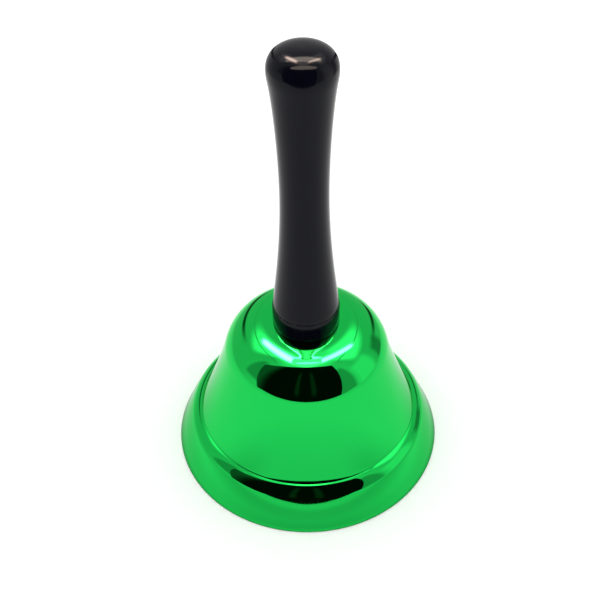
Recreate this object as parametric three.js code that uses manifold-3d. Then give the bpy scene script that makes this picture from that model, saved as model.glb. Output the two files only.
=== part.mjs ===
// A hand bell: a thin metal shell, a collar, a turned handle, and a clapper that hangs in an eye bolt.
// Millimetres, +Z up. The origin is the centre of the mouth, on the plane that the bell stands on.

import * as THREE from "three";
import { mergeVertices } from "three/addons/utils/BufferGeometryUtils.js";
import Module from "manifold-3d";

const wasm = await Module();
wasm.setup();

// Shell: its outline is walked up from the mouth as arcs that meet tangent to tangent, except at the
// crease under the body. A lean is the angle of the surface normal above the horizontal, in degrees.
const mouthRadius = 40;
const wall = 0.9;
const lip = { fromLean: 23, toLean: 27, radius: 142, steps: 3 };
const step = { fromLean: 27, toLean: 65, radius: 7.8, steps: 4 };
const body = { fromLean: 25, toLean: 15, radius: 144, steps: 5 };
const shoulder = { fromLean: 15, toLean: 69, radius: 12.8, steps: 6 };
const crown = { fromLean: 69, toLean: 87, radius: 20.4, steps: 3 };
const crownHoleRadius = 2.3;

// Collar and handle.
const collarRadius = 9.4;
const collarBoreRadius = 7.6;
const collarHeight = 5.9;
const collarEdge = 0.4;
const tenonRadius = 7.3;
const tenonGap = 0.4;
const handleLength = 77.2;
const handleFootRadius = 9.3;
const handleFootEdge = 1;
const waistRadius = 6.3;
const waistHeight = 38.5;
const knobRadius = 8.4;
const knobHeight = 71.2;
const knobSquareness = 2.45;
const knobSteps = 7;

// What pulls the handle's side into its curves: radius and height above the collar.
const footPull = [7.15, 16.2];
const belowWaistPull = [waistRadius, 27.7];
const aboveWaistPull = [waistRadius, 48.1];
const neckPull = [7, 61.2];
const neckTop = [8.15, 68.6];
const sideSteps = 9;

const insertRadius = 3.2;
const insertLength = 12;
const insertGap = 0.05;

// Eye bolt and what clamps the shell to it.
const boltRadius = 2;
const boltClearance = 0.1;
const boltReach = 11;
const eyeHoleRadius = 1.9;
const eyeWireRadius = 0.9;
const plainWasher = { outer: 5, inner: 2.2, thickness: 0.8 };
const springWasher = { outer: 3.6, inner: 2.15, thickness: 1, slot: 0.6 };
const nut = { acrossFlats: 7, height: 3.2 };
const eyeDrop = 3.7;

// Clapper: wire link, rod with a loop, ball.
const touchGap = 0.3;
const linkWireRadius = 0.7;
const linkHalfWidth = 2.3;
const linkLength = 6.2;
const linkSlit = 0.5;
const linkSteps = 30;
const rodWireRadius = 0.8;
const loopHoleRadius = 1.6;
const ballRadius = 7;
const ballCentreHeight = 9.6;
const ballBoreRadius = 1.1;
const ballSteps = 12;
const rivetRadius = 1.7;
const rivetFootRadius = 1.2;
const rivetHeight = 0.9;
const rivetSeatDepth = 0.6;

// Facets round the axis.
const shellFacets = 56;
const handleFacets = 32;
const smallFacets = 24;
const wireFacets = 10;
const rodFacets = 12;
const collarFacets = 48;

const degrees = Math.PI / 180;
const object = new THREE.Group();

const finishes = {
  greenMirror: new THREE.MeshStandardMaterial({ color: 0x1fbf55, metalness: 1, roughness: 0.06 }),
  blackLacquer: new THREE.MeshStandardMaterial({ color: 0x1a1a1d, metalness: 0, roughness: 0.25 }),
  brass: new THREE.MeshStandardMaterial({ color: 0xb58a3a, metalness: 1, roughness: 0.35 }),
  zincSteel: new THREE.MeshStandardMaterial({ color: 0xb4b6b8, metalness: 1, roughness: 0.35 }),
};

function addPiece(name, geometry, finish) {
  const mesh = new THREE.Mesh(geometry, finish);
  mesh.name = name;
  object.add(mesh);
}

// A profile is a list of Vector2(radius, height), walked up the outside and down the inside.
function turned(profile, facets) {
  return new THREE.LatheGeometry(profile, facets).rotateX(Math.PI / 2);
}

function point(radius, height) {
  return new THREE.Vector2(radius, height);
}

function toSolid(geometry) {
  const plain = geometry.clone();
  plain.deleteAttribute("normal");
  plain.deleteAttribute("uv");
  const merged = mergeVertices(plain, 1e-4);
  return new wasm.Manifold(new wasm.Mesh({
    numProp: 3,
    vertProperties: new Float32Array(merged.attributes.position.array),
    triVerts: new Uint32Array(merged.index.array),
  }));
}

function fromSolid(solid) {
  const { vertProperties, triVerts } = solid.getMesh();
  const geometry = new THREE.BufferGeometry();
  geometry.setAttribute("position", new THREE.BufferAttribute(new Float32Array(vertProperties), 3));
  geometry.setIndex(new THREE.BufferAttribute(new Uint32Array(triVerts), 1));
  geometry.computeVertexNormals();
  return geometry;
}

// A round wire bent along a curve.
function wire(curve, radius, steps) {
  const section = new THREE.Shape().absarc(0, 0, radius, 0, 2 * Math.PI, false);
  const options = { extrudePath: curve, steps, curveSegments: wireFacets / 2, bevelEnabled: false };
  return new THREE.ExtrudeGeometry(section, options);
}

// The next stretch of a shell outline, from a start point, without repeating that point.
function walkArc(start, { fromLean, toLean, radius, steps }) {
  const points = [];
  const stride = (Math.abs(toLean - fromLean) * degrees * radius) / steps;
  let here = start;
  for (let i = 0; i < steps; i += 1) {
    const lean = (fromLean + ((toLean - fromLean) * (i + 0.5)) / steps) * degrees;
    here = point(here.x - stride * Math.sin(lean), here.y + stride * Math.cos(lean));
    points.push(here);
  }
  return points;
}

function shellOutline() {
  let outline = [point(mouthRadius, 0)];
  for (const stretch of [lip, step, body, shoulder, crown]) {
    outline = outline.concat(walkArc(outline.at(-1), stretch));
  }
  return outline;
}

// The same outline, moved inwards by the wall, from the crown down to the mouth.
function insideOf(outline) {
  const inside = [];
  for (let i = outline.length - 1; i > 0; i -= 1) {
    const along = point(0, 0).subVectors(outline[Math.min(i + 1, outline.length - 1)], outline[i - 1]);
    along.normalize();
    inside.push(point(outline[i].x - wall * along.y, outline[i].y + wall * along.x));
  }
  inside.push(point(mouthRadius - wall, 0));
  return inside;
}

const outline = shellOutline();
const seatHeight = outline.at(-1).y;
const crownInside = seatHeight - wall;

function bellShell() {
  const seat = [point(crownHoleRadius, seatHeight), point(crownHoleRadius, crownInside)];
  const inside = insideOf(outline).slice(1);
  const ceiling = point(outline.at(-1).x, crownInside);
  return turned([...outline, ...seat, ceiling, ...inside, outline[0]], shellFacets);
}

function collar() {
  const top = collarHeight - collarEdge;
  const profile = [
    point(collarBoreRadius, 0), point(collarRadius, 0), point(collarRadius, top),
    point(collarRadius - collarEdge, collarHeight), point(collarBoreRadius, collarHeight),
    point(collarBoreRadius, 0),
  ];
  return turned(profile, collarFacets).translate(0, 0, seatHeight);
}

// The handle's foot stands on the collar, and its tenon fills the collar's bore.
function handle() {
  const tenonFoot = tenonGap - collarHeight;
  const boreTop = tenonFoot + insertLength + insertGap;
  const bore = insertRadius + insertGap;
  const foot = point(handleFootRadius, handleFootEdge);
  const waist = point(waistRadius, waistHeight);
  const lower = new THREE.CubicBezierCurve(foot, point(...footPull), point(...belowWaistPull), waist);
  const upper = new THREE.CubicBezierCurve(
    waist, point(...aboveWaistPull), point(...neckPull), point(...neckTop),
  );
  const dome = [];
  const domeHeight = handleLength - knobHeight;
  const power = 2 / knobSquareness;
  for (let i = 0; i < knobSteps; i += 1) {
    const angle = (i / knobSteps) * 90 * degrees;
    const rise = domeHeight * Math.sin(angle) ** power;
    dome.push(point(knobRadius * Math.cos(angle) ** power, knobHeight + rise));
  }
  dome.push(point(0, handleLength));
  const profile = [
    point(0, boreTop), point(bore, boreTop), point(bore, tenonFoot), point(tenonRadius, tenonFoot),
    point(tenonRadius, 0), point(handleFootRadius - handleFootEdge, 0),
    ...lower.getPoints(sideSteps), ...upper.getPoints(sideSteps).slice(1), ...dome,
  ];
  return turned(profile, handleFacets).translate(0, 0, seatHeight + collarHeight);
}

function threadedInsert() {
  const bore = boltRadius + boltClearance;
  const profile = [
    point(bore, 0), point(insertRadius, 0), point(insertRadius, insertLength),
    point(bore, insertLength), point(bore, 0),
  ];
  return turned(profile, smallFacets).translate(0, 0, seatHeight + tenonGap);
}

function washer({ outer, inner, thickness }) {
  const profile = [
    point(inner, 0), point(outer, 0), point(outer, thickness), point(inner, thickness), point(inner, 0),
  ];
  return turned(profile, smallFacets);
}

function plate(shape, depth) {
  return new THREE.ExtrudeGeometry(shape, { depth, curveSegments: smallFacets / 2, bevelEnabled: false });
}

function splitWasher({ outer, inner, thickness, slot }) {
  const start = slot / 2 / outer;
  const turn = 2 * Math.PI - start;
  const ring = new THREE.Shape().absarc(0, 0, outer, start, turn, false);
  ring.absarc(0, 0, inner, turn, start, true);
  ring.closePath();
  return plate(ring, thickness);
}

function hexNut() {
  const hexagon = new THREE.Shape();
  const corner = nut.acrossFlats / 2 / Math.cos(30 * degrees);
  for (let i = 0; i < 6; i += 1) {
    const angle = i * 60 * degrees;
    const place = point(corner * Math.cos(angle), corner * Math.sin(angle));
    if (i === 0) hexagon.moveTo(place.x, place.y);
    else hexagon.lineTo(place.x, place.y);
  }
  hexagon.closePath();
  hexagon.holes.push(new THREE.Path().absarc(0, 0, boltRadius + boltClearance, 0, 2 * Math.PI, true));
  return plate(hexagon, nut.height);
}

// Heights of the stack under the crown, from the top down.
const plainWasherFoot = crownInside - plainWasher.thickness;
const springWasherFoot = plainWasherFoot - springWasher.thickness;
const nutFoot = springWasherFoot - nut.height;
const eyeCentre = nutFoot - eyeDrop;
const linkTop = eyeCentre - eyeHoleRadius + touchGap + linkWireRadius;
const linkFoot = linkTop - linkLength;
const loopTop = linkFoot + linkWireRadius + touchGap + rodWireRadius;
const loopRadius = loopHoleRadius + rodWireRadius;
const loopCentre = loopTop - loopRadius;

// The eye stands in the XZ plane, so its hole runs along Y.
function eyeBolt() {
  const eyeRadius = eyeHoleRadius + eyeWireRadius;
  const ring = new THREE.TorusGeometry(eyeRadius, eyeWireRadius, wireFacets, smallFacets);
  ring.rotateX(Math.PI / 2).translate(0, 0, eyeCentre);
  const neck = eyeCentre + eyeRadius;
  const top = seatHeight + boltReach;
  const shank = new THREE.CylinderGeometry(boltRadius, boltRadius, top - nutFoot, smallFacets);
  shank.rotateX(Math.PI / 2).translate(0, 0, (top + nutFoot) / 2);
  const taper = new THREE.CylinderGeometry(boltRadius, eyeWireRadius, nutFoot - neck, smallFacets);
  taper.rotateX(Math.PI / 2).translate(0, 0, (nutFoot + neck) / 2);
  return fromSolid(toSolid(shank).add(toSolid(taper)).add(toSolid(ring)));
}

// A closed oval of wire in the YZ plane: its two ends butt, with a slit, half way up one side.
function clapperLink() {
  const middle = (linkTop + linkFoot) / 2;
  const onOval = (y, z) => new THREE.Vector3(0, y, middle + z);
  const path = new THREE.CurvePath();
  const leg = linkLength / 2 - linkHalfWidth;
  const slit = linkSlit / 2;
  path.add(new THREE.LineCurve3(onOval(linkHalfWidth, slit), onOval(linkHalfWidth, leg)));
  path.add(new HalfTurn(onOval(0, leg), linkHalfWidth, 0));
  path.add(new THREE.LineCurve3(onOval(-linkHalfWidth, leg), onOval(-linkHalfWidth, -leg)));
  path.add(new HalfTurn(onOval(0, -leg), linkHalfWidth, Math.PI));
  path.add(new THREE.LineCurve3(onOval(linkHalfWidth, -leg), onOval(linkHalfWidth, -slit)));
  return wire(path, linkWireRadius, linkSteps);
}

// Half a circle in the YZ plane, turning from a start angle that is measured from +Y towards +Z.
class HalfTurn extends THREE.Curve {
  constructor(centre, radius, startAngle) {
    super();
    Object.assign(this, { centre, radius, startAngle });
  }

  getPoint(t, target = new THREE.Vector3()) {
    const angle = this.startAngle + t * Math.PI;
    const { x, y, z } = this.centre;
    return target.set(x, y + this.radius * Math.cos(angle), z + this.radius * Math.sin(angle));
  }
}

// A wire with a closed loop at the top, in the XZ plane, and a riveted head under the ball.
function clapperRod() {
  const rivetTop = ballCentreHeight - ballRadius + rivetSeatDepth;
  const rivetFoot = rivetTop - rivetHeight;
  const stemTop = loopCentre - loopRadius;
  const stem = new THREE.CylinderGeometry(rodWireRadius, rodWireRadius, stemTop - rivetFoot, rodFacets);
  stem.rotateX(Math.PI / 2).translate(0, 0, (stemTop + rivetFoot) / 2);
  const ring = new THREE.TorusGeometry(loopRadius, rodWireRadius, wireFacets, smallFacets);
  ring.rotateX(Math.PI / 2).translate(0, 0, loopCentre);
  const rivet = new THREE.CylinderGeometry(rivetRadius, rivetFootRadius, rivetHeight, smallFacets);
  rivet.rotateX(Math.PI / 2).translate(0, 0, (rivetTop + rivetFoot) / 2);
  return fromSolid(toSolid(stem).add(toSolid(ring)).add(toSolid(rivet)));
}

function clapperBall() {
  const seat = ballRadius - rivetSeatDepth - touchGap;
  const profile = [];
  const start = Math.asin((rivetRadius + touchGap) / ballRadius);
  const end = Math.PI - Math.asin(ballBoreRadius / ballRadius);
  for (let i = 0; i <= ballSteps; i += 1) {
    const angle = start + ((end - start) * i) / ballSteps;
    profile.push(point(ballRadius * Math.sin(angle), -ballRadius * Math.cos(angle)));
  }
  profile.push(point(ballBoreRadius, -seat), point(rivetRadius + touchGap, -seat));
  profile.push(profile[0].clone());
  return turned(profile, handleFacets).translate(0, 0, ballCentreHeight);
}

function lifted(geometry, height) {
  return geometry.translate(0, 0, height);
}

addPiece("bell_shell", bellShell(), finishes.greenMirror);
addPiece("collar", collar(), finishes.blackLacquer);
addPiece("handle", handle(), finishes.blackLacquer);
addPiece("threaded_insert", threadedInsert(), finishes.brass);
addPiece("eye_bolt", eyeBolt(), finishes.zincSteel);
addPiece("plain_washer", lifted(washer(plainWasher), plainWasherFoot), finishes.zincSteel);
addPiece("spring_washer", lifted(splitWasher(springWasher), springWasherFoot), finishes.zincSteel);
addPiece("hex_nut", lifted(hexNut(), nutFoot), finishes.zincSteel);
addPiece("clapper_link", clapperLink(), finishes.zincSteel);
addPiece("clapper_rod", clapperRod(), finishes.zincSteel);
addPiece("clapper_ball", clapperBall(), finishes.zincSteel);

export default object;
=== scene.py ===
"""A hand bell: a stamped green mirror shell, a collar, a turned black handle and a hanging clapper."""

import math

import bpy
from mathutils import Matrix, Vector


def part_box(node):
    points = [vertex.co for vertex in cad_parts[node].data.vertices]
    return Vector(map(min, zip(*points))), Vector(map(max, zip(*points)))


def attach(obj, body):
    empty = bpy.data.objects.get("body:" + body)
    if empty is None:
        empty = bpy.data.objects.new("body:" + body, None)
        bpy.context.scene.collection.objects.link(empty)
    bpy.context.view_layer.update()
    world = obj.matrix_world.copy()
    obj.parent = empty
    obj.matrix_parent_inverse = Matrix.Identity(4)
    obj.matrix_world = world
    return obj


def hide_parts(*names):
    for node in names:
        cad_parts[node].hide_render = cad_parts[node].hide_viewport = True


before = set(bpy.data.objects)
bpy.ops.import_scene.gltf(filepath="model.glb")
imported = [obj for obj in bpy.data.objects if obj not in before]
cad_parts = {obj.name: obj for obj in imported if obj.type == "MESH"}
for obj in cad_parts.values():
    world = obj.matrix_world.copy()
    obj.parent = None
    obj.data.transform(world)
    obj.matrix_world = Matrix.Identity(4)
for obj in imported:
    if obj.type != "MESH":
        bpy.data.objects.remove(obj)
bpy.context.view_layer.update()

MM = 0.001

# Where the pieces sit, out of the frame.
_, shell_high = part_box("bell_shell")
collar_low, collar_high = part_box("collar")
handle_low, handle_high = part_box("handle")
insert_low, insert_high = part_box("threaded_insert")
bolt_low, bolt_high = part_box("eye_bolt")
plain_low, plain_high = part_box("plain_washer")
spring_low, spring_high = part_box("spring_washer")
nut_low, nut_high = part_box("hex_nut")
link_low, link_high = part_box("clapper_link")
rod_low, rod_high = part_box("clapper_rod")
ball_low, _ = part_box("clapper_ball")

# The shell's outline, from the rim up. A lean is how far the metal tips back from upright, in degrees.
WALL = 0.9 * MM
RIM_START = shell_high.x - 0.453 * MM
RIM_EDGE = dict(start=-90, end=23, radius=0.3 * MM, steps=6)
LIP = dict(start=23, end=27, radius=145.77 * MM, steps=12)
STEP = dict(start=27, end=70, radius=5.761 * MM, steps=20)
CREASE = dict(start=70, end=25, radius=0.45 * MM, steps=6)
BODY = dict(start=25, end=15, radius=143.13 * MM, steps=30)
SHOULDER = dict(start=15, end=69, radius=12.8 * MM, steps=32)
CROWN = dict(start=69, end=87, radius=20.4 * MM, steps=12)
SEAT_LEAN = math.radians(CROWN["end"])
CROWN_HOLE = 2.3 * MM
LEDGE = 0.15 * MM
SHELL_SEGMENTS, COLLAR_SEGMENTS, HANDLE_SEGMENTS, SMALL_SEGMENTS = 192, 144, 128, 64

# The handle's outline, above the top of the collar, and its foot inside the collar.
TENON, TENON_EDGE = 7.3 * MM, 0.3 * MM
FOOT_EDGE = 0.2 * MM
WAIST, WAIST_HEIGHT = 6.3 * MM, 38.5 * MM
NECK, NECK_HEIGHT = 8.15 * MM, 68.6 * MM
KNOB, KNOB_HEIGHT = 8.4 * MM, 71.2 * MM
KNOB_SQUARENESS = 2.45
KNOB_STEPS = 30
FOOT_PULL, LOWER_PULL = (7.15 * MM, 16.2 * MM), (WAIST, 27.7 * MM)
UPPER_PULL, NECK_PULL = (WAIST, 48.1 * MM), (7 * MM, 61.2 * MM)
SWELL_PULL, KNOB_PULL = (8.29 * MM, 69.5 * MM), (KNOB, 70.3 * MM)

# Rings, and what holds the clapper.
COLLAR_BORE = 7.6 * MM
WASHER_BORE = 2.2 * MM
SPLIT_BORE, SPLIT_GAP, SPLIT_RISE = 2.15 * MM, 0.6 * MM, 0.14 * MM
INSERT_GAP = 0.05 * MM
INSERT_BORE = NUT_BORE = 2.1 * MM
SHANK, THREAD_PITCH, THREAD_DEPTH = 2.0 * MM, 0.7 * MM, 0.12 * MM
EYE_WIRE = 0.9 * MM
LINK_WIRE, LINK_SLIT = 0.7 * MM, 0.5 * MM
ROD_WIRE, ROD_LOOP, ROD_NECK = 0.8 * MM, 2.4 * MM, 1.2 * MM
ROD_LOOP_SWEEP = 298
BALL_RADIUS, BALL_BORE, BALL_SEAT = 7 * MM, 1.1 * MM, 2 * MM
BALL_SEAT_DROP = 6.1 * MM
WIRE_SIDES = 20

# The camera looks down from in front.
CAMERA_PLACE = (-1.62 * MM, -182.7 * MM, 221.75 * MM)
CAMERA_TILT = math.radians(90 - 42.71)
CAMERA_ROLL = math.radians(-1.17)
LENS, SENSOR = 54, 36

# The white sheet it stands on: how far it reaches, and where the painted crease shade that mirrors see
# along its front edge starts, in mm.
SHEET_FRONT, SHEET_BACK = -0.225, 0.19
SHEET_MIDDLE = (SHEET_FRONT + SHEET_BACK) / 2
SHEET_HALF_DEPTH = (SHEET_BACK - SHEET_FRONT) / 2
SHEET_HALF_WIDTH = 0.3
CREASE_SHADE_START, CREASE_SHADE_FULL = 196, 210

# The even light of the box, how bright its parts look in a mirror, and the tint of its lamps.
DOME = 1.25
WALLS, FRONT_WALLS = 0.86, 1.06
CEILING, ZENITH, HIGH_WALL = 1.6, 4.5, 2.4
BACK_GAP, SEAM = 0.05, 0.75
OPEN_FRONT, CURTAIN, STANDS = 0.006, 0.12, 0.03
NEUTRAL, WARM = (1, 1, 1, 1), (1, 0.74, 0.62, 1)

# Screens on its walls. Azimuth is from the front, positive to the right, and height from the horizon,
# each as from, to, softness, in degrees.
SCREENS = (
    dict(azimuth=(-86, -60, 3), height=(6, 52, 5), brightness=0.5),
    dict(azimuth=(40, 63, 3), height=(-90, 51, 5), brightness=0.56),
    dict(azimuth=(68, 97, 5), height=(-90, 36, 6), brightness=1.4),
    dict(azimuth=(107, 124, 4), height=(-90, 20, 6), brightness=0.38),
)

# Long lamps on its ceiling, for a ceiling one unit up: their direction on plan, and how far they reach
# aside and along from overhead, each as from, to, softness.
LAMPS = (
    dict(towards=(-0.54, 0.84), aside=(-0.2, -0.03, 0.08), reach=(0.03, 0.8, 0.12), brightness=60),
    dict(towards=(0.75, 0.66), aside=(0.03, 0.17, 0.07), reach=(0.03, 0.8, 0.12), brightness=45),
)

# Two lamps close above the knob.
BAR_LENGTH, BAR_HEIGHT = 42 * MM, 152 * MM
BACK_BAR = dict(forward=1.5 * MM, width=10 * MM, radiance=12)
FRONT_BAR = dict(forward=-18 * MM, width=11 * MM, radiance=9)
BAR_COLOR = (1, 0.85, 0.72)


# ---------------------------------------------------------------- drawing and turning


def begin(name):
    """Take the primitive just added into edit mode, all selected."""
    piece = bpy.context.active_object
    piece.name = name
    piece.data.name = name
    bpy.ops.object.transform_apply(location=True, rotation=True, scale=True)
    bpy.ops.object.mode_set(mode="EDIT")
    bpy.ops.mesh.select_all(action="SELECT")


def finish(smooth_below=32):
    """Merge, point the faces outwards and leave edit mode."""
    bpy.ops.mesh.select_all(action="SELECT")
    bpy.ops.mesh.remove_doubles(threshold=0.004 * MM)
    bpy.ops.mesh.normals_make_consistent(inside=False)
    bpy.ops.object.mode_set(mode="OBJECT")
    bpy.ops.object.shade_smooth_by_angle(angle=math.radians(smooth_below))
    return bpy.context.active_object


def deselect():
    bpy.ops.object.select_all(action="DESELECT")


def extrude(x, y, z):
    bpy.ops.mesh.extrude_region_move(TRANSFORM_OT_translate={"value": (x, y, z)})


class Section:
    """A section drawn from point to point in the XZ plane, and spun round the bell's axis."""

    def __init__(self, name, radius, height):
        deselect()
        bpy.ops.mesh.primitive_plane_add(size=MM, location=(radius, 0, height))
        begin(name)
        bpy.ops.mesh.merge(type="CENTER")
        self.start = self.here = Vector((radius, height))

    def to(self, radius, height):
        step = Vector((radius, height)) - self.here
        extrude(step.x, 0, step.y)
        self.here = self.here + step

    def arc(self, start, end, radius, steps):
        turn = math.radians(end - start) / steps
        chord = abs(2 * radius * math.sin(turn / 2))
        for i in range(steps):
            lean = math.radians(start) + turn * (i + 0.5)
            self.to(self.here.x - chord * math.sin(lean), self.here.y + chord * math.cos(lean))

    def curve(self, pull, next_pull, end, steps):
        """A cubic Bezier from here."""
        first = self.here.copy()
        for i in range(1, steps + 1):
            t = i / steps
            rest = 1 - t
            point = first * rest**3 + end * t**3
            point += 3 * t * rest * (rest * pull + t * next_pull)
            self.to(point.x, point.y)

    def close(self):
        self.to(*self.start)

    def spin(self, segments, smooth_below=32):
        bpy.ops.mesh.select_all(action="SELECT")
        bpy.ops.mesh.spin(steps=segments, angle=2 * math.pi, center=(0, 0, 0), axis=(0, 0, 1))
        return finish(smooth_below)


def other_side(stretch, extra):
    """The wall's other face along a stretch, walked back down."""
    return dict(
        start=stretch["end"] + 180,
        end=stretch["start"] + 180,
        radius=stretch["radius"] + extra,
        steps=stretch["steps"],
    )


class Wire:
    """A round wire that starts upwards: straights by extruding, bends by spinning."""

    def __init__(self, name, radius, at):
        deselect()
        bpy.ops.mesh.primitive_circle_add(
            vertices=WIRE_SIDES, radius=radius, fill_type="NGON", location=at
        )
        begin(name)
        self.radius = radius

    def straight(self, length):
        extrude(0, 0, length)

    def step(self, radius, height):
        """On to another radius, on the bell's axis."""
        extrude(0, 0, height)
        wider = radius / self.radius
        bpy.ops.transform.resize(value=(wider, wider, 1), center_override=(0, 0, 0))
        self.radius = radius

    def bend(self, centre, axis, degrees, steps):
        """Right-handed about the axis. The spin operator turns the other way."""
        bpy.ops.mesh.spin(steps=steps, angle=math.radians(-degrees), center=centre, axis=axis)


def work_on(piece):
    deselect()
    piece.select_set(True)
    bpy.context.view_layer.objects.active = piece


def joined(piece, tool, operation, smooth_below):
    """Boolean a piece with a tool, which is used up."""
    work_on(piece)
    change = piece.modifiers.new("joint", "BOOLEAN")
    change.operation = operation
    change.solver = "EXACT"
    change.object = tool
    bpy.ops.object.modifier_apply(modifier="joint")
    bpy.data.objects.remove(tool)
    bpy.ops.object.mode_set(mode="EDIT")
    return finish(smooth_below)


def softened(piece, width):
    """Break the sharp edges."""
    work_on(piece)
    edges = piece.modifiers.new("edges", "BEVEL")
    edges.limit_method = "ANGLE"
    edges.angle_limit = math.radians(50)
    edges.width = width
    edges.segments = 2
    bpy.ops.object.modifier_apply(modifier="edges")
    bpy.ops.object.shade_smooth_by_angle(angle=math.radians(32))
    return piece


# ---------------------------------------------------------------- the pieces


def stamped_shell():
    shell = Section("stamped_shell", RIM_START, 0)
    for stretch in (RIM_EDGE, LIP, STEP, CREASE, BODY, SHOULDER, CROWN):
        shell.arc(**stretch)
    ceiling = shell.here - WALL * Vector((math.cos(SEAT_LEAN), math.sin(SEAT_LEAN)))
    shell.to(CROWN_HOLE, shell_high.z)
    shell.to(CROWN_HOLE, ceiling.y)
    shell.to(*ceiling)
    for stretch, extra in (
        (CROWN, -WALL),
        (SHOULDER, -WALL),
        (BODY, WALL),
        (CREASE, WALL),
        (STEP, -WALL),
        (LIP, -WALL),
    ):
        shell.arc(**other_side(stretch, extra))
    shell.to(shell.here.x + LEDGE, 0)
    shell.close()
    piece = shell.spin(SHELL_SEGMENTS)
    mark_inside(piece, Vector((0, 0, 0.4 * shell_high.z)))
    return piece


def mark_inside(piece, middle):
    """Faces that look at the middle of the hollow carry inside = 1."""
    inside = [float((middle - face.center).dot(face.normal) > 0) for face in piece.data.polygons]
    piece.data.attributes.new("inside", "FLOAT", "FACE").data.foreach_set("value", inside)


def turned_ring(name, bore, low, high, lower_edge, upper_edge, segments):
    """A ring as wide and as tall as its box, with round outer edges."""
    outer = high.x
    ring = Section(name, bore, low.z)
    ring.to(outer - lower_edge, low.z)
    ring.arc(-90, 0, lower_edge, 5)
    ring.to(outer, high.z - upper_edge)
    ring.arc(0, 90, upper_edge, 5)
    ring.to(bore, high.z)
    ring.close()
    return ring.spin(segments)


def collar_ring():
    edges = 0.35 * MM, 0.12 * MM
    return turned_ring("collar_ring", COLLAR_BORE, collar_low, collar_high, *edges, COLLAR_SEGMENTS)


def flat_washer():
    edges = 0.08 * MM, 0.2 * MM
    return turned_ring("flat_washer", WASHER_BORE, plain_low, plain_high, *edges, SMALL_SEGMENTS)


def turned_handle():
    """A waisted handle with a rounded knob, bored from its foot for the insert."""
    foot = collar_high.z
    bore = insert_high.x + INSERT_GAP
    bore_top = insert_high.z + INSERT_GAP
    fullness = 2 / KNOB_SQUARENESS

    def at(radius, height):
        return Vector((radius, foot + height))

    waist, neck, knob = at(WAIST, WAIST_HEIGHT), at(NECK, NECK_HEIGHT), at(KNOB, KNOB_HEIGHT)
    dome = handle_high.z - knob.y
    handle = Section("turned_handle", 0, bore_top)
    handle.to(bore, bore_top)
    handle.to(bore, handle_low.z)
    handle.to(TENON - TENON_EDGE, handle_low.z)
    handle.to(TENON, handle_low.z + TENON_EDGE)
    handle.to(TENON, foot)
    handle.to(handle_high.x - FOOT_EDGE, foot)
    handle.arc(-90, 0, FOOT_EDGE, 8)
    handle.curve(at(*FOOT_PULL), at(*LOWER_PULL), waist, 36)
    handle.curve(at(*UPPER_PULL), at(*NECK_PULL), neck, 32)
    handle.curve(at(*SWELL_PULL), at(*KNOB_PULL), knob, 6)
    for i in range(1, KNOB_STEPS):
        turn = math.radians(90) * i / KNOB_STEPS
        handle.to(knob.x * math.cos(turn) ** fullness, knob.y + dome * math.sin(turn) ** fullness)
    handle.to(0, handle_high.z)
    return handle.spin(HANDLE_SEGMENTS)


def pressed_insert():
    """A brass insert with two barbed grooves."""
    outer, foot, top = insert_high.x, insert_low.z, insert_high.z
    chamfer = depth = 0.35 * MM
    insert = Section("pressed_insert", INSERT_BORE, foot + chamfer)
    insert.to(INSERT_BORE + chamfer, foot)
    insert.to(outer - chamfer, foot)
    insert.to(outer, foot + chamfer)
    for groove in (foot + 2.7 * MM, foot + 7.5 * MM):
        insert.to(outer, groove)
        insert.to(outer - depth, groove + 0.3 * MM)
        insert.to(outer - depth, groove + 1.8 * MM)
        insert.to(outer, groove + 2.4 * MM)
    insert.to(outer, top - chamfer)
    insert.to(outer - chamfer, top)
    insert.to(INSERT_BORE, top)
    insert.close()
    return insert.spin(72)


def eye_bolt():
    """A threaded shank with a forged eye. Its ridges stop where the taper starts."""
    eye_radius = bolt_high.x - EYE_WIRE
    eye_height = bolt_low.z + eye_radius + EYE_WIRE
    root = SHANK - THREAD_DEPTH
    ridges = round((bolt_high.z - nut_low.z) / THREAD_PITCH) - 1
    shank = Section("forged_eye_bolt", 0, eye_height + eye_radius)
    shank.to(EYE_WIRE, eye_height + eye_radius)
    shank.curve(
        Vector((EYE_WIRE, nut_low.z - 0.5 * MM)),
        Vector((root, nut_low.z - 0.4 * MM)),
        Vector((root, nut_low.z)),
        8,
    )
    for _ in range(ridges):
        for radius, rise in ((root, 0.15), (SHANK, 0.35), (SHANK, 0.15), (root, 0.35)):
            shank.to(radius, shank.here.y + rise * THREAD_PITCH)
    shank.to(root - THREAD_DEPTH, bolt_high.z)
    shank.to(0, bolt_high.z)
    bolt = shank.spin(48)
    deselect()
    bpy.ops.mesh.primitive_torus_add(
        major_radius=eye_radius,
        minor_radius=EYE_WIRE,
        major_segments=SMALL_SEGMENTS,
        minor_segments=24,
        location=(0, 0, eye_height),
        rotation=(math.radians(90), 0, 0),
    )
    begin("eye")
    return joined(bolt, finish(), "UNION", 40)


def split_washer():
    """A spring washer: a flat strip coiled up, its ends a little apart."""
    outer = spring_high.x
    thickness = spring_high.z - spring_low.z - SPLIT_RISE
    slit = SPLIT_GAP / outer
    middle = ((SPLIT_BORE + outer) / 2, 0, spring_low.z + thickness / 2)
    deselect()
    bpy.ops.mesh.primitive_plane_add(size=MM, location=middle, rotation=(math.radians(90), 0, 0))
    begin("split_washer")
    section = ((outer - SPLIT_BORE) / MM, 1, thickness / MM)
    bpy.ops.transform.resize(value=section, center_override=middle)
    bpy.ops.transform.rotate(value=-slit / 2, orient_axis="Z", center_override=(0, 0, middle[2]))
    turn = (2 * math.pi - slit) / SMALL_SEGMENTS
    for _ in range(SMALL_SEGMENTS):
        bpy.ops.mesh.spin(steps=1, angle=turn, center=(0, 0, 0), axis=(0, 0, 1))
        bpy.ops.transform.translate(value=(0, 0, SPLIT_RISE / SMALL_SEGMENTS))
    return softened(finish(), 0.06 * MM)


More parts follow.
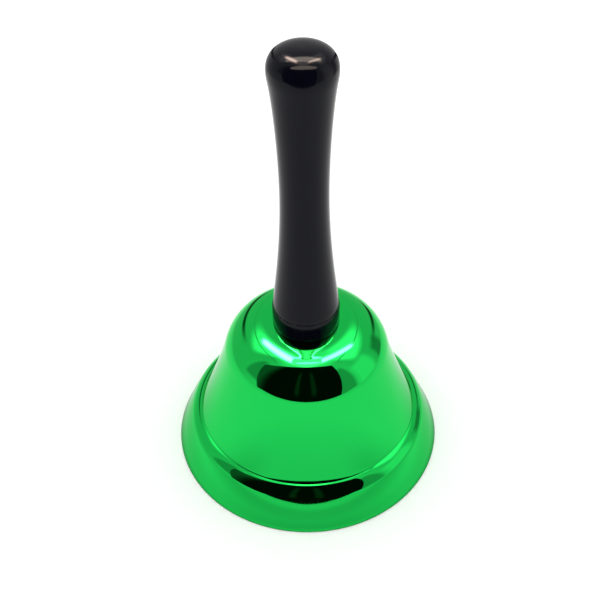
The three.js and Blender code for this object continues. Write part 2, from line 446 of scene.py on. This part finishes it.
def hex_nut():
    """A hexagon cut out of a chamfered, bored blank."""
    low, high = nut_low.z, nut_high.z
    flat, corner, margin = nut_high.y, nut_high.x, 0.1 * MM
    lead, chamfer, overshoot = 0.3 * MM, 0.35 * MM, 1 * MM
    blank = Section("chamfered_nut", NUT_BORE, low + lead)
    blank.to(NUT_BORE + lead, low)
    blank.to(flat - margin, low)
    blank.to(corner + margin, low + chamfer)
    blank.to(corner + margin, high - chamfer)
    blank.to(flat - margin, high)
    blank.to(NUT_BORE + lead, high)
    blank.to(NUT_BORE, high - lead)
    blank.close()
    nut = blank.spin(96)
    deselect()
    bpy.ops.mesh.primitive_circle_add(
        vertices=6,
        radius=corner,
        fill_type="NGON",
        location=(0, 0, low - overshoot),
        rotation=(0, 0, math.radians(30)),
    )
    begin("hexagon")
    extrude(0, 0, high - low + 2 * overshoot)
    return softened(joined(nut, finish(), "INTERSECT", 30), 0.04 * MM)


def clapper_link():
    """An oval of wire, its ends almost meeting half-way up one side."""
    side = link_high.y - LINK_WIRE
    middle = (link_low.z + link_high.z) / 2
    leg = (link_high.z - link_low.z) / 2 - LINK_WIRE - side
    end = LINK_SLIT / 2
    wire = Wire("wire_link", LINK_WIRE, (0, side, middle + end))
    wire.straight(leg - end)
    wire.bend((0, 0, middle + leg), (1, 0, 0), 180, 24)
    wire.straight(-2 * leg)
    wire.bend((0, 0, middle - leg), (1, 0, 0), 180, 24)
    wire.straight(leg - end)
    return softened(finish(), 0.08 * MM)


def clapper_rod():
    """A wire with a hammered head under the ball, and a loop that its neck swings out to."""
    loop_height = rod_high.z - ROD_LOOP - ROD_WIRE
    swing = math.acos(ROD_NECK / (ROD_LOOP + ROD_NECK))
    neck = loop_height - (ROD_LOOP + ROD_NECK) * math.sin(swing)
    head = ((1.2, 0.12), (1.55, 0.25), (1.7, 0.28), (1.6, 0.25), (ROD_WIRE / MM, 0.02))
    wire = Wire("looped_wire", 0.5 * MM, (0, 0, rod_low.z))
    for radius, rise in head:
        wire.step(radius * MM, rise * MM)
    wire.straight(neck - rod_low.z - sum(rise for _, rise in head) * MM)
    wire.bend((ROD_NECK, 0, neck), (0, 1, 0), math.degrees(swing), 12)
    wire.bend((0, 0, loop_height), (0, -1, 0), ROD_LOOP_SWEEP, 56)
    return softened(finish(), 0.08 * MM)


def clapper_ball():
    """A bored steel ball, with a seat for the wire's head sunk in its foot."""
    low = math.asin(BALL_SEAT / BALL_RADIUS)
    high = math.asin(BALL_BORE / BALL_RADIUS)
    middle = ball_low.z + BALL_RADIUS * math.cos(low)
    ball = Section("bored_ball", BALL_BORE, middle - BALL_SEAT_DROP)
    ball.to(BALL_SEAT, middle - BALL_SEAT_DROP)
    ball.to(BALL_SEAT, ball_low.z)
    ball.arc(math.degrees(low) - 90, 90 - math.degrees(high), BALL_RADIUS, 48)
    ball.close()
    return softened(ball.spin(96), 0.08 * MM)


# ---------------------------------------------------------------- finishes


class Value:
    """A shader socket's number. Sums on it add Math nodes."""

    def __init__(self, graph, socket):
        self.graph = graph
        self.socket = socket

    def math(self, operation, first, second=0.0):
        return self.graph.add("Math", dict(operation=operation), {0: first, 1: second})

    def __add__(self, other):
        return self.math("ADD", self, other)

    def __sub__(self, other):
        return self.math("SUBTRACT", self, other)

    def __rsub__(self, other):
        return self.math("SUBTRACT", other, self)

    def __mul__(self, other):
        return self.math("MULTIPLY", self, other)

    def __truediv__(self, other):
        return self.math("DIVIDE", self, other)

    __radd__ = __add__
    __rmul__ = __mul__


class Graph:
    """The nodes of one material, or of the studio's surroundings."""

    def __init__(self, owner):
        owner.use_nodes = True
        self.owner = owner
        self.tree = owner.node_tree
        self.tree.nodes.clear()

    def add(self, kind, settings=None, sockets=None, out=0):
        """A node, its settings first, then its sockets' values or links. Gives one output."""
        node = self.tree.nodes.new("ShaderNode" + kind)
        for name, value in (settings or {}).items():
            setattr(node, name, value)
        for name, value in (sockets or {}).items():
            if isinstance(value, Value):
                self.tree.links.new(value.socket, node.inputs[name])
            else:
                node.inputs[name].default_value = value
        return Value(self, node.outputs[out]) if len(node.outputs) else None

    def output(self, kind, surface):
        self.add("Output" + kind, sockets={"Surface": surface})
        return self.owner

    def principled(self, sockets):
        return self.add("BsdfPrincipled", sockets=sockets)

    def finish(self, sockets):
        """The whole finish is one Principled shader. Gives the material."""
        return self.output("Material", self.principled(sockets))

    def rise(self, value, start, end):
        """0 below start, 1 above end, smooth between."""
        return self.add(
            "MapRange",
            dict(interpolation_type="SMOOTHSTEP"),
            {"Value": value, "From Min": start, "From Max": end},
        )

    def between(self, value, low, high, soft):
        """1 from low to high, with soft edges."""
        up = self.rise(value, low - soft, low + soft)
        return up * (1 - self.rise(value, high - soft, high + soft))

    def shade(self, share, first, second):
        """A colour mixed from two."""
        return self.add("Mix", dict(data_type="RGBA"), {0: share, 6: first, 7: second}, out=2)

    def place(self, stretch=(1, 1, 1)):
        """Object coordinates, stretched."""
        place = self.add("TexCoord", out="Object")
        return self.add("Mapping", sockets={"Vector": place, "Scale": stretch})

    def noise(self, place, per_metre, detail=2.0, roughness=0.5):
        return self.add(
            "TexNoise",
            sockets={"Vector": place, "Scale": per_metre, "Detail": detail, "Roughness": roughness},
        )

    def bump(self, height, depth):
        return self.add("Bump", sockets={"Height": height, "Distance": depth, "Strength": 1.0})


def rgb(red, green, blue):
    return (red, green, blue, 1)


def new_finish(name):
    return Graph(bpy.data.materials.new(name))


def green_mirror():
    """Green anodised-look plating, mirror bright outside, and plain dulled metal on the inside."""
    g = new_finish("green_mirror")
    everywhere = g.place()
    inside = g.add("Attribute", dict(attribute_name="inside"), out="Fac")
    haze = g.noise(everywhere, 90, 3)
    scuffs = g.noise(g.place((1, 1, 14)), 420, 4, 0.7)
    roll = g.noise(everywhere, 38, 1)
    plating = g.shade(haze, rgb(0.0105, 0.49, 0.072), rgb(0.0125, 0.51, 0.078))
    dull = g.shade(scuffs, rgb(0.36, 0.37, 0.38), rgb(0.56, 0.56, 0.55))
    color = g.shade(inside, plating, dull)
    roughness = 0.02 + 0.015 * haze + inside * (0.27 + 0.14 * scuffs)
    normal = g.bump(roll, 0.035 * MM)
    return g.finish(
        {
            "Base Color": color,
            "Metallic": 1.0,
            "Roughness": roughness,
            "Specular Tint": rgb(0.65, 0.92, 0.72),
            "Normal": normal,
        }
    )


def black_lacquer():
    """Black lacquer over turned wood: near-black, with faint grain drawn along the handle."""
    g = new_finish("handle_lacquer")
    along = g.place((1, 1, 0.06))
    grain = g.noise(along, 900, 5, 0.6)
    cloud = g.noise(g.place(), 60, 2)
    color = g.shade(grain, rgb(0.0006, 0.0008, 0.0028), rgb(0.002, 0.0022, 0.0052))
    roughness = 0.09 + 0.04 * cloud + 0.03 * grain
    return g.finish(
        {
            "Base Color": color,
            "Roughness": roughness,
            "IOR": 1.22,
            "Normal": g.bump(grain, 0.004 * MM),
        }
    )


def plain_brass():
    """Brass off the lathe: fine rings, a little tarnish."""
    g = new_finish("plain_brass")
    rings = g.noise(g.place((1, 1, 30)), 300, 2)
    tarnish = g.noise(g.place(), 700, 4, 0.6)
    return g.finish(
        {
            "Base Color": g.shade(tarnish, rgb(0.55, 0.36, 0.13), rgb(0.78, 0.56, 0.25)),
            "Metallic": 1.0,
            "Roughness": 0.24 + 0.12 * tarnish,
            "Normal": g.bump(rings, 0.01 * MM),
        }
    )


def zinc_plate():
    """Zinc plating: silvery, faintly blue and straw in clouds, with fine scratches."""
    g = new_finish("zinc_plate")
    clouds = g.noise(g.place(), 450, 3, 0.6)
    scratches = g.noise(g.place((1, 1, 7)), 2600, 3, 0.7)
    return g.finish(
        {
            "Base Color": g.shade(clouds, rgb(0.54, 0.58, 0.63), rgb(0.7, 0.67, 0.6)),
            "Metallic": 1.0,
            "Roughness": 0.2 + 0.16 * clouds + 0.08 * scratches,
            "Normal": g.bump(scratches, 0.004 * MM),
        }
    )


def tumbled_steel():
    """The ball: tumbled steel, with small dents and a darker bloom."""
    g = new_finish("tumbled_steel")
    bloom = g.noise(g.place(), 260, 4, 0.6)
    dents = g.noise(g.place(), 1300, 2)
    return g.finish(
        {
            "Base Color": g.shade(bloom, rgb(0.36, 0.36, 0.37), rgb(0.58, 0.57, 0.56)),
            "Metallic": 1.0,
            "Roughness": 0.2 + 0.2 * bloom,
            "Normal": g.bump(dents, 0.02 * MM),
        }
    )


# ---------------------------------------------------------------- camera and studio


def camera():
    deselect()
    bpy.ops.object.camera_add(location=CAMERA_PLACE)
    eye = bpy.context.active_object
    eye.name = "camera"
    look = Matrix.Rotation(CAMERA_TILT, 3, "X") @ Matrix.Rotation(CAMERA_ROLL, 3, "Z")
    eye.rotation_euler = look.to_euler()
    eye.data.sensor_width = SENSOR
    eye.data.lens = LENS
    eye.data.clip_start = 5 * MM
    eye.data.clip_end = 50
    bpy.context.scene.camera = eye


def pale_floor():
    """A plain white sheet. Mirrors see a painted glow on it instead, with painted shadow by the rim,
    painted dimming at a slant, and painted crease shade in front.
    """
    deselect()
    middle = (0, SHEET_MIDDLE, 0)
    bpy.ops.mesh.primitive_plane_add(size=2, location=middle)
    begin("floor")
    bpy.ops.transform.resize(value=(SHEET_HALF_WIDTH, SHEET_HALF_DEPTH, 1), center_override=middle)
    floor = finish()
    g = new_finish("pale_floor")
    here = g.add("TexCoord", out="Object")
    paper = g.noise(here, 400, 3)
    color = g.shade(paper, rgb(0.89, 0.89, 0.89), rgb(0.93, 0.93, 0.93))
    seen = g.principled({"Base Color": color, "Roughness": 0.9, "IOR": 1.3})

    # Distances are in mm: the gap out from the rim, and how far in front of the axis.
    away = g.add("VectorMath", dict(operation="LENGTH"), {0: here}, out="Value")
    gap = (away - shell_high.x) * (1 / MM)
    front = g.add("SeparateXYZ", sockets={0: here}, out="Y") * (-1 / MM)
    # Painted shade: mirrors see the sheet dimmer where their rays meet it at a slant, more so near the
    # rim.
    slant = g.add("LayerWeight", sockets={"Blend": 0.5}, out="Facing")
    near = 1 - g.rise(gap, 60, 110)
    lit = 1.27 - g.rise(slant, 0.68, 0.9) * (0.2 + 0.25 * near)
    # Painted shadow: the glow mirrors see falls off towards the rim, and nearly to black under it.
    shadow = 0.35 + 0.45 * g.rise(gap, -1, 3) + 0.2 * g.rise(gap, 3, 25)
    under = 0.05 + 0.95 * g.rise(gap, -2.5, -0.5)
    # Painted crease shade: dark folds from a stretched noise, along the front edge, that only mirrors
    # see.
    stretched = g.add("Mapping", sockets={"Vector": here, "Scale": (1, 2.2, 1)})
    painted_fold_pattern = g.rise(g.noise(stretched, 34, 4, 0.65), 0.42, 0.62)
    painted_crease_shade = g.rise(front, CREASE_SHADE_START, CREASE_SHADE_FULL) * painted_fold_pattern
    glow = lit * shadow * under * (1 - 0.55 * painted_crease_shade)
    # Painted reflection of the sheet: glossy rays see this glow, carrying the painted shade above, in
    # place of the lit sheet.
    painted_mirror_glow = g.add("Emission", sockets={"Color": NEUTRAL, "Strength": glow})
    path = g.add("LightPath", out="Is Glossy Ray")
    shader = g.add("MixShader", sockets={0: path, 1: seen, 2: painted_mirror_glow})
    floor.data.materials.append(g.output("Material", shader))


def paint(under, value, mask):
    return under + mask * (value - under)


class Sky:
    """Where a direction points in the light box: angles in degrees, and places on its ceiling."""

    def __init__(self, g):
        up = g.add("TexCoord", out="Generated")
        self.x, y, self.z = (g.add("SeparateXYZ", sockets={0: up}, out=axis) for axis in "XYZ")
        self.ahead = y * -1.0
        degrees = 180 / math.pi
        self.azimuth = g.add("Math", dict(operation="ARCTAN2"), {0: self.x, 1: self.ahead}) * degrees
        self.turned = g.add("Math", dict(operation="ABSOLUTE"), {0: self.azimuth})
        self.height = g.add("Math", dict(operation="ARCSINE"), {0: self.z}) * degrees
        self.right = g.rise(self.azimuth, -5, 5)
        self.across, self.along = self.x / self.z, y / self.z


def box_walls(g, sky):
    """Walls and ceiling, with the screens on them."""
    turned, height = sky.turned, sky.height
    light = WALLS + (FRONT_WALLS - WALLS) * g.rise(turned, 100, 60)
    high_wall = g.rise(turned - (100 - 20 * sky.right), 0, 16) * g.rise(turned, 158, 142)
    light = paint(light, HIGH_WALL, high_wall * g.rise(height, 34, 50))
    light = paint(light, CEILING, g.rise(height, 62, 74))
    for screen in SCREENS:
        mask = g.between(sky.azimuth, *screen["azimuth"]) * g.between(height, *screen["height"])
        light = paint(light, screen["brightness"], mask)
    return light


def box_seams(g, sky, light):
    """The dark gap under the back sheet, bowed up to both sides, and the seam under the ceiling."""
    turned = sky.turned
    bow = g.add("Math", dict(operation="POWER"), {0: (turned - 118) * (1 / 40), 1: 1.5})
    gap = sky.height - (27 - 12 * sky.right) + 29 * bow
    light = paint(light, BACK_GAP, g.between(gap, -4, 4, 3) * g.rise(turned, 112, 142))
    seam = sky.height - 63 + 0.008 * (turned - 88) * (turned - 88)
    return paint(light, SEAM, g.between(seam, -1, 1, 1) * g.rise(turned, 70, 90))


def box_lamps(g, sky, light):
    """Long lamps that run back to the left and to the right, and the bright middle of the ceiling."""
    over = g.rise(sky.height, 30, 36)
    for lamp in LAMPS:
        x, y = lamp["towards"]
        aside = g.between(sky.across * y - sky.along * x, *lamp["aside"])
        shape = aside * g.between(sky.across * x + sky.along * y, *lamp["reach"])
        light = paint(light, lamp["brightness"], over * shape * shape)
    return paint(light, ZENITH, g.rise(sky.height, 77, 80))


def box_front(g, sky, light):
    """The open front, darkest, its left edge softened by a curtain, and two dim stands inside it."""
    sideways, upward = sky.x / sky.ahead, sky.z / sky.ahead
    opening = g.rise(sky.ahead, -0.01, 0.01) * g.rise(upward, 5.1, 4.5)
    opening = opening * g.rise(0.92 + 0.235 * upward - sideways, 0, 0.03)
    opening = opening * g.rise(2.25 + 0.5 * upward + sideways, 0, 0.2)
    curtain = g.rise(sideways, -1.25, -2.3)
    stands = g.between(sky.azimuth, -16, -11, 2) + g.between(sky.azimuth, 5, 11, 2)
    stands = stands * g.between(sky.height, 8, 62, 8)
    return paint(light, OPEN_FRONT + CURTAIN * curtain + STANDS * stands, opening)


def surroundings():
    """A soft white light box. Only mirrors see its walls, seams, lamps and open front."""
    world = bpy.data.worlds.new("light_box")
    bpy.context.scene.world = world
    g = Graph(world)
    sky = Sky(g)
    light = box_walls(g, sky)
    light = box_seams(g, sky, light)
    light = box_lamps(g, sky, light)
    light = box_front(g, sky, light)
    path = g.add("LightPath", out="Is Glossy Ray")
    strength = DOME + path * (light - DOME)
    color = g.shade(g.rise(strength, 1.5, 7), NEUTRAL, WARM)
    g.output("World", g.add("Background", sockets={"Color": color, "Strength": strength}))
    world.cycles.sampling_method = "NONE"


def ceiling_bar(name, forward, width, radiance):
    """A lamp just above the knob that only polished surfaces show."""
    deselect()
    bpy.ops.object.light_add(type="AREA", location=(2 * MM, forward, BAR_HEIGHT))
    lamp = bpy.context.active_object
    lamp.name = name
    lamp.data.shape = "ELLIPSE"
    lamp.data.color = BAR_COLOR
    lamp.data.size, lamp.data.size_y = BAR_LENGTH, width
    area = math.pi / 4 * BAR_LENGTH * width
    lamp.data.energy = radiance * math.pi * area
    lamp.visible_camera = False
    lamp.visible_diffuse = False


camera()
pale_floor()
surroundings()
ceiling_bar("back_bar", **BACK_BAR)
ceiling_bar("front_bar", **FRONT_BAR)

green = green_mirror()
lacquer = black_lacquer()
brass = plain_brass()
zinc = zinc_plate()
steel = tumbled_steel()

for piece, node, body, slot, finish_material in (
    (stamped_shell(), "bell_shell", "root", "green_shell", green),
    (collar_ring(), "collar", "root", "black_lacquer", lacquer),
    (turned_handle(), "handle", "root", "black_lacquer", lacquer),
    (pressed_insert(), "threaded_insert", "root", "brass", brass),
    (eye_bolt(), "eye_bolt", "root", "zinc_steel", zinc),
    (flat_washer(), "plain_washer", "root", "zinc_steel", zinc),
    (split_washer(), "spring_washer", "root", "zinc_steel", zinc),
    (hex_nut(), "hex_nut", "root", "zinc_steel", zinc),
    (clapper_link(), "clapper_link", "link", "zinc_steel", zinc),
    (clapper_rod(), "clapper_rod", "clapper", "zinc_steel", zinc),
    (clapper_ball(), "clapper_ball", "clapper", "ball_steel", steel),
):
    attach(piece, body)
    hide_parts(node)
    piece.data.materials.append(finish_material)

bpy.context.scene.view_settings.view_transform = "Standard"
